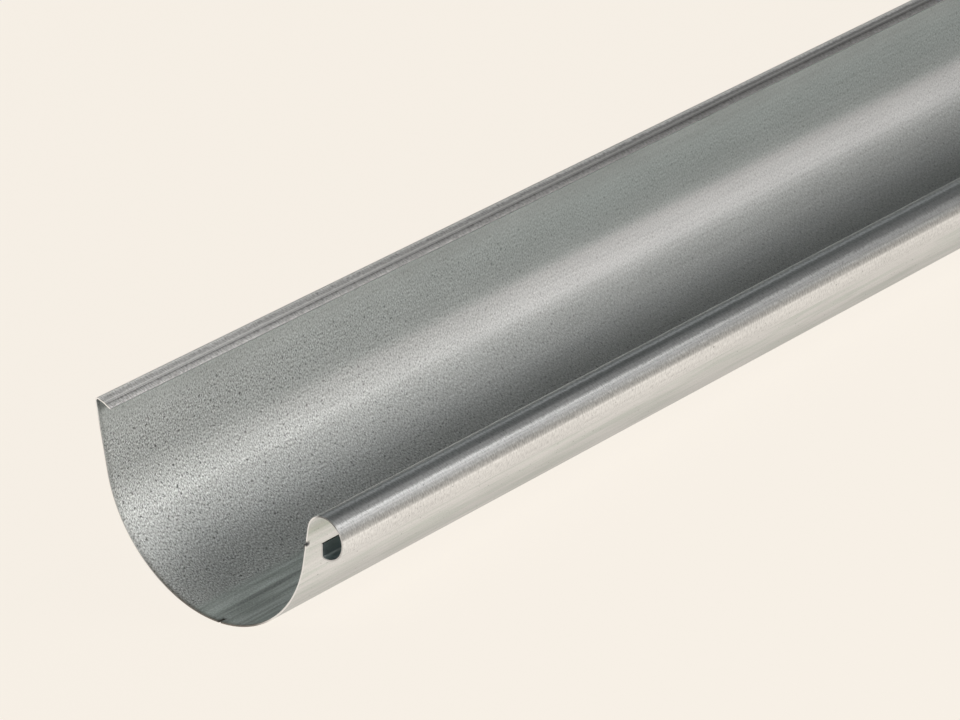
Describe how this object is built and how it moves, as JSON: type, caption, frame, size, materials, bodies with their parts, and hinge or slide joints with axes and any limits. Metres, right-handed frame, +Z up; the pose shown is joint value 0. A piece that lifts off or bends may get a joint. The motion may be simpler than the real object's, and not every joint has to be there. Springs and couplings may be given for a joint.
{
  "type": "half-round gutter section",
  "caption": "Straight length of half-round galvanised steel eaves gutter with a rolled front bead and an inward folded back edge.",
  "frame": {"origin": "on the floor under the middle of the part as it lies at rest on its round bottom", "axes": "+Y along the gutter, away from the end with the handling marks; +Z up; +X to the bead side"},
  "size_m": [0.1235, 2, 0.0931],
  "materials": {
    "galvanised_steel": "fine matt zinc spangle"
  },
  "bodies": {
    "root": {"gutter_section": "galvanised_steel"}
  },
  "joints": []
}
